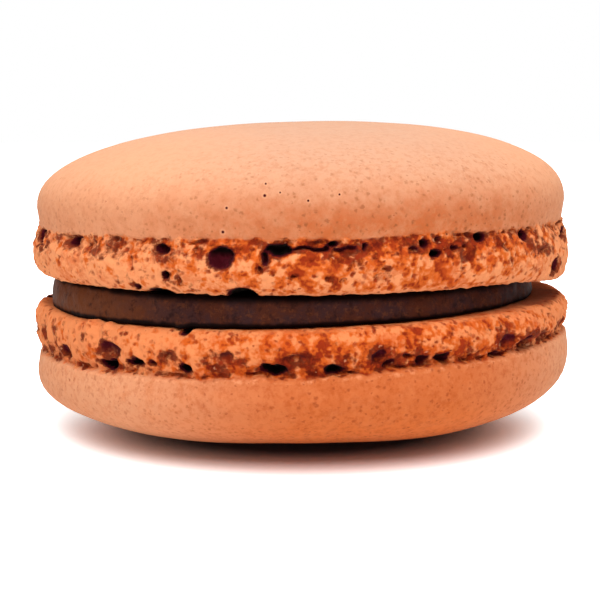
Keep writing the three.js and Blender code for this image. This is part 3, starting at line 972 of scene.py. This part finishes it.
class SharedEffects:
    """Effects that more than one finish uses, as node groups."""

    def __init__(self) -> None:
        """Builds each group once."""
        self.pinholes = self._pinholes()
        self.mottle = self._mottle()

    @staticmethod
    def _new(name: str, inputs: dict[str, tuple[str, object]], output: str) -> bpy.types.NodeTree:
        """Makes an empty group with named sockets.

        Args:
            name: The group's name.
            inputs: Socket type and default value by input name.
            output: Name of the float output.

        Returns:
            The new group.
        """
        tree = bpy.data.node_groups.new(name, "ShaderNodeTree")
        for socket, (kind, default) in inputs.items():
            made = tree.interface.new_socket(name=socket, in_out="INPUT", socket_type=kind)
            if default is not None:
                made.default_value = default
        tree.interface.new_socket(name=output, in_out="OUTPUT", socket_type="NodeSocketFloat")
        return tree

    def mottled(
        self,
        graph: Graph,
        place: bpy.types.NodeSocket,
        grain: float,
        low: float,
        high: float,
    ) -> bpy.types.NodeSocket:
        """Places the soft blotches in a material.

        Args:
            graph: The material's tree.
            place: Object coordinates.
            grain: The blotches' size in millimetres.
            low: Where the mask is 0.
            high: Where the mask is 1.

        Returns:
            The mask.
        """
        return graph.group(self.mottle, Vector=place, Scale=1 / (grain * MM), Low=low, High=high)

    def _pinholes(self) -> bpy.types.NodeTree:
        """Builds scattered round spots."""
        inputs = {
            "Vector": ("NodeSocketVector", None),
            "Scale": ("NodeSocketFloat", 1000.0),
            "Size": ("NodeSocketFloat", 0.2),
            "Share": ("NodeSocketFloat", 0.3),
            "Ragged": ("NodeSocketFloat", 0.0),
        }
        tree = self._new("pinholes", inputs, "Spot")
        graph = Graph(tree)
        given = graph.node("NodeGroupInput").outputs
        scaled = graph.vector("SCALE", {0: given["Vector"], "Scale": given["Scale"]})
        cloud = graph.node("ShaderNodeTexNoise", {"Vector": scaled, "Scale": 1.8, "Detail": 2.0})
        centred = graph.vector("SUBTRACT", {0: cloud.outputs["Color"], 1: (0.5, 0.5, 0.5)})
        pushed = graph.vector("SCALE", {0: centred, "Scale": given["Ragged"]})
        moved = graph.vector("ADD", {0: scaled, 1: pushed})
        cells = graph.node("ShaderNodeTexVoronoi", {"Vector": moved, "Scale": 1.0})
        lot = graph.node("ShaderNodeSeparateColor", {"Color": cells.outputs["Color"]}).outputs
        taken = graph.math("LESS_THAN", lot["Red"], given["Share"])
        grown = graph.math("MULTIPLY", given["Size"], graph.math("MULTIPLY_ADD", lot["Green"], 0.9, 0.4))
        away = graph.math("DIVIDE", cells.outputs["Distance"], grown)
        spot = graph.math("MULTIPLY", graph.ease(away, 1.1, 0.35), taken)
        graph.node("NodeGroupOutput", {"Spot": spot})
        return tree

    def _mottle(self) -> bpy.types.NodeTree:
        """Builds soft blotches."""
        inputs = {
            "Vector": ("NodeSocketVector", None),
            "Scale": ("NodeSocketFloat", 1000.0),
            "Low": ("NodeSocketFloat", 0.4),
            "High": ("NodeSocketFloat", 0.6),
        }
        tree = self._new("mottle", inputs, "Mask")
        graph = Graph(tree)
        given = graph.node("NodeGroupInput").outputs
        noise_inputs = {"Vector": given["Vector"], "Scale": given["Scale"], "Detail": 6.0, "Roughness": 0.75}
        cloud = graph.node("ShaderNodeTexNoise", noise_inputs).outputs["Fac"]
        graph.node("NodeGroupOutput", {"Mask": graph.ease(cloud, given["Low"], given["High"])})
        return tree


@dataclass(frozen=True)
class Pinhole:
    """One pinhole in front of a cap, painted as a dark spot of shade, in millimetres across and up from the
    origin.
    """

    across: float
    up: float
    radius: float


@dataclass(frozen=True)
class MeringueFinish:
    """Baked almond meringue: a matte speckled cap over a crumbly, stained foot, with painted light and shade.
    """

    name: str
    cap: Colour
    cap_pale: Colour
    cap_dark: Colour
    crown: Colour
    cap_low: Colour
    speck: Colour
    foot_brown: Colour
    foot_vivid: Colour
    foot_ember: Colour
    foot_pale: Colour
    # prick is the painted shade of small pores
    prick: Colour = (0.26, 0.025, 0.006, 1.0)
    stain: Colour = (0.10, 0.008, 0.003, 1.0)
    # pit, deep and wine are the painted shade in hollows and the crack
    pit: Colour = (0.045, 0.002, 0.005, 1.0)
    deep: Colour = (0.004, 0.001, 0.001, 1.0)
    roughness: float = 0.85
    specular: float = 0.04
    subsurface: float = 0.04
    sheen: float = 0.03
    cap_painted_light: Colour = (0.65, 0.306, 0.162, 1.0)
    painted_light_share: float = 0.55
    low_share: float = 0.9
    # share of the painted glint along the brim
    brim_share: float = 0.15
    crown_calm: float = 0.75
    # painted glint on crumbs and along the brim
    glint: Colour = (0.76, 0.330, 0.165, 1.0)
    wine: Colour = (0.070, 0.005, 0.010, 1.0)
    pinholes: tuple[Pinhole, ...] = ()

    def cap_colour(
        self,
        graph: Graph,
        effects: SharedEffects,
        place: bpy.types.NodeSocket,
        marks: dict[str, bpy.types.NodeSocket],
    ) -> bpy.types.NodeSocket:
        """Builds the cap's mottled, speckled tone, with painted light, sheen, glints and pinhole shade.

        Args:
            graph: The material's tree.
            effects: The shared node groups.
            place: Object coordinates.
            marks: The mesh's values and the spots, by name.

        Returns:
            The colour.
        """
        # Towards the crown the cap takes the crown tone; the top shell's paler crown is partly a painted
        # highlight
        colour = graph.tinted(self.cap, marks["crown"], 0.85, self.crown)
        blotches = graph.math("SUBTRACT", graph.noise(place, 1.6, 5.0, 0.7), 0.5)
        low = graph.ease(graph.math("ADD", marks["low"], blotches), 0.0, 1.2)
        colour = graph.tinted(colour, low, self.low_share, self.cap_low)
        # Painted light and sheen make the cap paler away from the front
        colour = graph.tinted(colour, marks["painted_light_side"], self.painted_light_share, self.cap_painted_light)
        # A broken painted glint along the cap's brim by the seam
        broken = graph.math("MULTIPLY", graph.ease(graph.noise(place, 0.45, 3.0), 0.46, 0.66), marks["brim"])
        colour = graph.tinted(colour, broken, self.brim_share, self.glint)
        calm = graph.math("MULTIPLY_ADD", marks["crown"], -self.crown_calm, 1.0)
        still = graph.math("MULTIPLY", graph.math("MULTIPLY_ADD", marks["painted_light_side"], -0.45, 1.0), calm)
        dark = graph.math("MULTIPLY", effects.mottled(graph, place, 0.55, 0.56, 0.36), still)
        pale = graph.math("MULTIPLY", effects.mottled(graph, place, 1.5, 0.42, 0.66), calm)
        colour = graph.tinted(colour, dark, 0.6, self.cap_dark)
        colour = graph.tinted(colour, pale, 0.3, self.cap_pale)
        strength = graph.math("MULTIPLY_ADD", still, 0.85, -0.12)
        colour = graph.blend(graph.math("MULTIPLY", marks["specks"], strength), colour, self.speck)
        colour = graph.tinted(colour, marks["dots"], 0.6, self.foot_brown)
        # Painted shade of each pinhole, with a paler ring round it
        for hole in self.pinholes:
            away = self.from_pinhole(graph, place, hole)
            colour = graph.tinted(colour, graph.ease(away, 2.2, 1.4), 0.35, self.cap_pale)
            colour = graph.blend(graph.ease(away, 1.1, 0.5), colour, self.pit)
        return colour

    @staticmethod
    def from_pinhole(graph: Graph, place: bpy.types.NodeSocket, hole: Pinhole) -> bpy.types.NodeSocket:
        """Measures the distance from a pinhole as a share of its radius, seen from the front."""
        inputs = {0: place, 1: (1.0, 0.0, 1.0), 2: (-hole.across * MM, 0.0, -hole.up * MM)}
        length = graph.vector("LENGTH", {0: graph.vector("MULTIPLY_ADD", inputs)}, "Value")
        behind = graph.math("MAXIMUM", graph.node("ShaderNodeSeparateXYZ", {0: place}).outputs["Y"], 0.0)
        return graph.math("DIVIDE", graph.math("ADD", length, behind), hole.radius * MM)

    def foot_colour(
        self,
        graph: Graph,
        effects: SharedEffects,
        place: bpy.types.NodeSocket,
        marks: dict[str, bpy.types.NodeSocket],
    ) -> bpy.types.NodeSocket:
        """Builds the foot's crumb tones and stains, with painted shade in hollows and pores and painted
        highlights.

        Args:
            graph: The material's tree.
            effects: The shared node groups.
            place: Object coordinates.
            marks: The mesh's values and the spots, by name.

        Returns:
            The colour.
        """
        mixed = graph.math("MULTIPLY_ADD", graph.noise(place, 1.0, 2.0, 0.6), 1.9, -0.45)
        # The crumb is paler on its lumps, a painted highlight, and where painted light falls on the sides; it
        # is also paler towards the lip
        shares = {"lump": 0.25, "away": 0.22, "painted_light_side": 0.35}
        for name, share in shares.items():
            mixed = graph.math("MULTIPLY_ADD", marks[name], share, mixed)
        mixed = graph.math("MULTIPLY_ADD", graph.noise(place, 0.4, 3.0, 0.6), 0.8, mixed)
        colour = graph.blend(graph.ease(mixed, 0.86, 1.08), self.foot_brown, self.foot_vivid)
        colour = graph.blend(graph.ease(mixed, 1.08, 1.41), colour, self.foot_pale)
        colour = graph.tinted(colour, effects.mottled(graph, place, 2.6, 0.5, 0.62), 0.5, self.foot_ember)
        # Painted highlight along the lip's edge
        colour = graph.tinted(colour, marks["rim_highlight"], 0.35, self.foot_pale)

        torn = graph.math("MULTIPLY_ADD", graph.noise(place, 0.9, 4.0, 0.55), 3.2, -1.6)
        stained = graph.ease(graph.math("ADD", marks["stain"], torn), 0.32, 0.85)
        cloudy = graph.ease(graph.noise(place, 0.42, 4.0, 0.65), 0.46, 0.7)
        # The stains' brown, also used for the painted shade between the shells
        stain_and_shade_brown = graph.blend(cloudy, self.stain, self.foot_brown)
        colour = graph.tinted(colour, stained, 0.9, stain_and_shade_brown)
        # Painted shade of small pores as dark red-brown spots, fewer where the sides are painted lighter
        colour = graph.tinted(colour, marks["pricks"], 0.7, self.prick)
        strength = graph.math("MULTIPLY_ADD", marks["painted_light_side"], -0.5, 0.85)
        pores = graph.math("MULTIPLY", graph.ease(marks["pore"], 0.1, 0.75), strength)
        colour = graph.blend(pores, colour, self.prick)
        # Painted glints on crumbs in the stains
        glints = graph.math("MULTIPLY", marks["crumbs"], graph.ease(marks["stain"], 0.25, 0.6))
        colour = graph.tinted(colour, glints, 0.5, self.glint)
        # Painted shade on the face between the shells, with the ganache's smear
        colour = graph.tinted(colour, marks["inner"], 0.75, stain_and_shade_brown)

        # Painted shade in the hollows and the crack: dark red inside, black where deep
        inside = graph.blend(graph.ease(graph.noise(place, 0.5, 3.0), 0.45, 0.65), self.pit, self.wine)
        colour = graph.blend(graph.ease(marks["pit"], 0.08, 0.4), colour, inside)
        return graph.blend(graph.ease(marks["pit"], 0.6, 0.85), colour, self.deep)

    def material(self, effects: SharedEffects) -> bpy.types.Material:
        """Builds the material.

        Args:
            effects: The shared node groups.

        Returns:
            The material.
        """
        made, graph, place = new_material(self.name)
        marks = {name: graph.attribute(name) for name in MARKS}
        for name, (spacing, size, share, ragged) in SPOTS.items():
            values = {"Scale": 1 / (spacing * MM), "Size": size, "Share": share, "Ragged": ragged}
            marks[name] = graph.group(effects.pinholes, Vector=place, **values)
        cap = self.cap_colour(graph, effects, place, marks)
        crumb = self.foot_colour(graph, effects, place, marks)
        colour = graph.blend(marks["foot"], cap, crumb)

        grain = graph.noise(place, 0.3, 4.0, 0.7)
        rough_grain = graph.noise(place, 0.3, 5.0, 0.7)
        holes = graph.math("MULTIPLY", marks["dots"], -0.6)
        cap_height = graph.math("MULTIPLY_ADD", grain, 0.6, holes)
        dents = graph.math("MULTIPLY", marks["pricks"], -0.3)
        foot_height = graph.math("MULTIPLY_ADD", rough_grain, 3.0, dents)
        difference = graph.math("SUBTRACT", foot_height, cap_height)
        relief = graph.math("MULTIPLY_ADD", difference, marks["foot"], cap_height)
        bump = graph.node("ShaderNodeBump", {"Height": relief, "Distance": 0.06 * MM, "Strength": 0.9})
        inputs = {
            "Base Color": colour,
            "Roughness": self.roughness,
            "Specular IOR Level": self.specular,
            "Sheen Weight": self.sheen,
            "Sheen Roughness": 0.35,
            "Sheen Tint": (1.0, 0.8, 0.6, 1.0),
            "Subsurface Weight": self.subsurface,
            "Subsurface Radius": (1.0, 0.45, 0.25),
            "Subsurface Scale": 0.8 * MM,
            "Normal": bump.outputs["Normal"],
        }
        graph.surface(inputs)
        return made


@dataclass(frozen=True)
class GanacheFinish:
    """Satin dark chocolate ganache, with painted shade, nearly black, where it meets the shells and painted
    light on its left.
    """

    name: str = "dark_ganache"
    brown: Colour = (0.050, 0.0120, 0.0055, 1.0)
    # a paler brown, for the painted light on the left and for pale blotches
    light: Colour = (0.118, 0.033, 0.0100, 1.0)
    grey: Colour = (0.031, 0.0110, 0.0105, 1.0)
    dark: Colour = (0.012, 0.0035, 0.003, 1.0)
    # painted shade where the ganache meets the shells
    contact_shade: Colour = (0.003, 0.0006, 0.0005, 1.0)
    roughness: float = 0.5
    specular: float = 0.04

    def material(self, effects: SharedEffects) -> bpy.types.Material:
        """Builds the material.

        Args:
            effects: The shared node groups.

        Returns:
            The material.
        """
        made, graph, place = new_material(self.name)
        colour = graph.blend(effects.mottled(graph, place, 2.2, 0.4, 0.62), self.brown, self.grey)
        # Painted light on the ganache's left
        colour = graph.tinted(colour, graph.attribute("painted_light_side"), 0.8, self.light)
        colour = graph.tinted(colour, effects.mottled(graph, place, 0.9, 0.5, 0.34), 0.75, self.dark)
        colour = graph.tinted(colour, effects.mottled(graph, place, 0.6, 0.5, 0.66), 0.42, self.light)
        # Painted shade where the ganache meets the shells
        colour = graph.blend(graph.attribute("contact_shade"), colour, self.contact_shade)
        smear = graph.noise(place, 0.6, 4.0, 0.65)
        gloss = graph.node("ShaderNodeMapRange", {"Value": smear, "To Min": self.roughness, "To Max": 0.7})
        bump = graph.node("ShaderNodeBump", {"Height": smear, "Distance": 0.12 * MM, "Strength": 0.6})
        inputs = {
            "Base Color": colour,
            "Roughness": gloss.outputs["Result"],
            "Specular IOR Level": self.specular,
            "Normal": bump.outputs["Normal"],
        }
        graph.surface(inputs)
        return made


class Placing(Enum):
    """Where a lamp stands in the studio."""

    KEY = "key"
    OVERHEAD = "overhead"
    FILL = "fill"


@dataclass(frozen=True)
class Softbox:
    """A large soft lamp that looks at the macaron."""

    placing: Placing
    place: tuple[float, float, float]
    size: float
    watts: float

    def build(self) -> None:
        """Adds the lamp, turned towards the macaron."""
        lamp = bpy.data.lights.new(f"softbox_{self.placing.value}", "AREA")
        lamp.shape = "SQUARE"
        lamp.size = self.size
        lamp.energy = self.watts
        made = in_scene(lamp.name, lamp)
        made.location = self.place
        aim = Vector((0.0, 0.0, AIM_HEIGHT * MM)) - made.location
        made.rotation_euler = aim.to_track_quat("-Z", "Y").to_euler()


@dataclass
class Studio:
    """A white table with a painted shadow and glow, soft light and the camera."""

    floor_side: float = 6.0
    floor_tone: Colour = (0.88, 0.90, 0.92, 1.0)
    # The table's glow, a painted light, for lighting and as the camera sees it, then the painted shadow's
    # width, shift and warm tint and the painted contact shadow's reach and tone
    floor_glow: tuple[float, float] = (0.035, 0.22)
    seen_glow: tuple[float, float] = (0.0102, 0.0214)
    shadow_width: float = 0.81
    shadow_shift: float = 5.0
    shadow_tint: Colour = (1.0, 0.55, 0.45, 1.0)
    contact_shade: tuple[float, float] = (0.0078, 0.0108)
    contact_shade_tone: Colour = (0.20, 0.15, 0.17, 1.0)
    ambient: float = 0.22
    backdrop: float = 1.0
    camera_place: tuple[float, float, float] = (-0.2, -112.5, 24.55)
    camera_pitch: float = 7.27
    lens: float = 78.42
    sensor: float = 36.0
    lamps: tuple[Softbox, ...] = (
        Softbox(Placing.KEY, (0.0, -0.42, 0.62), 0.6, 6.7),
        Softbox(Placing.OVERHEAD, (0.0, 0.05, 0.7), 0.45, 3.9),
        Softbox(Placing.FILL, (-0.25, -0.85, 0.2), 0.6, 0.6),
    )

    def floor(self) -> None:
        """Lays the pale table, with a painted contact shadow and a glow that shapes its shadow and lights the
        macaron.
        """
        bm = bmesh.new()
        bmesh.ops.create_grid(bm, x_segments=1, y_segments=1, size=self.floor_side / 2)
        bmesh.ops.translate(bm, verts=bm.verts[:], vec=(0.0, 0.0, -0.01 * MM))
        mesh = bpy.data.meshes.new("table_top")
        bm.to_mesh(mesh)
        bm.free()
        made = in_scene("table_top", mesh)
        paint, graph, place = new_material("table_painted_shadow_and_glow")
        away = graph.vector("LENGTH", {0: place}, "Value")
        shift = (0.0, self.shadow_shift * MM, 0.0)
        moved = graph.vector("MULTIPLY_ADD", {0: place, 1: (self.shadow_width, 1.0, 1.0), 2: shift})
        near = graph.vector("LENGTH", {0: moved}, "Value")
        # Painted contact shadow: the table's colour darkens under the macaron
        tone = graph.blend(graph.ease(near, *self.contact_shade), self.contact_shade_tone, self.floor_tone)
        # The table glows, a painted light, brighter away from the macaron; the glow the camera sees is shaped
        # into a painted shadow with a warm edge
        seen = graph.node("ShaderNodeLightPath").outputs["Is Camera Ray"]
        both = {0: seen, 2: graph.ease(away, *self.floor_glow), 3: graph.ease(near, *self.seen_glow)}
        share = graph.node("ShaderNodeMix", both).outputs[0]
        warm = graph.blend(graph.ease(share, 0.0, 0.7), self.shadow_tint, WHITE)
        glow = graph.blend(share, BLACK, warm)
        inputs = {"Base Color": tone, "Roughness": 0.9, "Emission Color": glow, "Emission Strength": 1.0}
        graph.surface(inputs)
        mesh.materials.append(paint)

    def surroundings(self) -> None:
        """Sets a dim white room that the camera sees as a white backdrop."""
        world = bpy.data.worlds.new("white_room")
        world.use_nodes = True
        bpy.context.scene.world = world
        graph = Graph(world.node_tree)
        dim = graph.node("ShaderNodeBackground", {"Color": WHITE, "Strength": self.ambient})
        bright = graph.node("ShaderNodeBackground", {"Color": WHITE, "Strength": self.backdrop})
        seen = graph.node("ShaderNodeLightPath").outputs["Is Camera Ray"]
        mixed = graph.node("ShaderNodeMixShader", {0: seen, 1: dim.outputs[0], 2: bright.outputs[0]})
        graph.node("ShaderNodeOutputWorld", {"Surface": mixed.outputs[0]})

    def camera(self) -> None:
        """Sets the camera where the photograph was taken from."""
        data = bpy.data.cameras.new("photo_camera")
        data.sensor_fit = "HORIZONTAL"
        data.sensor_width = self.sensor
        data.lens = self.lens
        data.clip_start = 0.005
        made = in_scene("photo_camera", data)
        made.location = Vector(self.camera_place) * MM
        made.rotation_euler = Euler((math.radians(90.0 - self.camera_pitch), 0.0, 0.0))
        bpy.context.scene.camera = made

    def build(self) -> None:
        """Sets up the whole studio."""
        self.floor()
        self.surroundings()
        for lamp in self.lamps:
            lamp.build()
        self.camera()
        bpy.context.scene.view_settings.view_transform = "Standard"
        bpy.context.scene.view_settings.look = "None"


TOP_SHELL = Shell(
    name="top_meringue",
    side=1,
    face_level=TOP_FACE_LEVEL,
    foot_height=4.0,
    crest_share=0.56,
    lip_depth=1.4,
    cap_radius=22.25,
    cap_height=8.33,
    dome_roundness=2.27,
    face_tilt=0.45,
    seam_tilt=0.85,
    crown_tilt=1.45,
    centre_x=0.0,
    seed=17,
    hollows=TOP_HOLLOWS,
    stains=TOP_STAINS,
    sags=(LipSag(78.0, 40.0, 0.85, 0.35), LipSag(-80.0, 35.0, 0.1, 0.3)),
)
BOTTOM_SHELL = Shell(
    name="bottom_meringue",
    side=-1,
    face_level=BOTTOM_FACE_LEVEL,
    foot_height=3.2,
    crest_share=0.5,
    lip_depth=1.0,
    cap_radius=22.65,
    cap_height=7.68,
    dome_roundness=2.6,
    face_tilt=1.5,
    seam_tilt=2.4,
    crown_tilt=0.5,
    centre_x=0.2,
    seed=42,
    hollows=BOTTOM_HOLLOWS,
    stains=BOTTOM_STAINS,
    front_roundness=2.3,
    brown_inside=1.3,
    sags=(LipSag(-80.0, 38.0, 0.6, 0.4), LipSag(-46.5, 3.2, 0.4, 0.25), LipSag(-41.8, 1.8, 0.3, 0.15)),
)
TOP_FINISH = MeringueFinish(
    name="top_shell_crust",
    cap=(0.49, 0.205, 0.100, 1.0),
    cap_pale=(0.60, 0.285, 0.155, 1.0),
    cap_dark=(0.36, 0.110, 0.040, 1.0),
    # paler crown, partly a painted highlight
    crown=(0.505, 0.300, 0.204, 1.0),
    cap_low=(0.425, 0.089, 0.020, 1.0),
    speck=(0.23, 0.070, 0.024, 1.0),
    foot_brown=(0.28, 0.029, 0.005, 1.0),
    foot_vivid=(0.57, 0.106, 0.015, 1.0),
    foot_ember=(0.52, 0.076, 0.011, 1.0),
    foot_pale=(0.74, 0.265, 0.105, 1.0),
    pinholes=(
        Pinhole(-2.65, 20.26, 0.13),
        Pinhole(-2.59, 21.06, 0.09),
        Pinhole(0.37, 19.92, 0.1),
        Pinhole(-5.31, 19.39, 0.11),
        Pinhole(-5.59, 17.7, 0.13),
        Pinhole(-1.58, 20.47, 0.08),
        Pinhole(2.54, 20.34, 0.09),
    ),
)
BOTTOM_FINISH = MeringueFinish(
    name="bottom_shell_crust",
    cap=(0.46, 0.108, 0.029, 1.0),
    cap_pale=(0.60, 0.185, 0.068, 1.0),
    cap_dark=(0.36, 0.066, 0.013, 1.0),
    crown=(0.74, 0.182, 0.040, 1.0),
    cap_low=(0.47, 0.111, 0.031, 1.0),
    speck=(0.27, 0.050, 0.014, 1.0),
    foot_brown=(0.28, 0.027, 0.005, 1.0),
    foot_vivid=(0.54, 0.093, 0.012, 1.0),
    foot_ember=(0.54, 0.074, 0.010, 1.0),
    foot_pale=(0.70, 0.218, 0.076, 1.0),
    painted_light_share=0.8,
    brim_share=0.45,
    crown_calm=0.35,
)


def dress(piece: bpy.types.Object, material: bpy.types.Material, node: str) -> None:
    """Gives a piece its finish and its place in the frame.

    Args:
        piece: The finished piece.
        material: Its finish.
        node: The solid that it stands for.
    """
    piece.data.materials.append(material)
    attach(piece, "root")
    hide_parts(node)
    piece.data.calc_loop_triangles()
    LOG.info("%s: %d triangles", piece.name, len(piece.data.loop_triangles))


def main() -> None:
    """Builds the macaron round its frame, then the studio."""
    logging.basicConfig(level=logging.INFO, format="%(name)s: %(message)s")
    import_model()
    effects = SharedEffects()
    dress(TOP_SHELL.build(), TOP_FINISH.material(effects), "top_shell")
    dress(Ganache().build(), GanacheFinish().material(effects), "filling")
    dress(BOTTOM_SHELL.build(), BOTTOM_FINISH.material(effects), "bottom_shell")
    Studio().build()


if __name__ == "__main__":
    main()
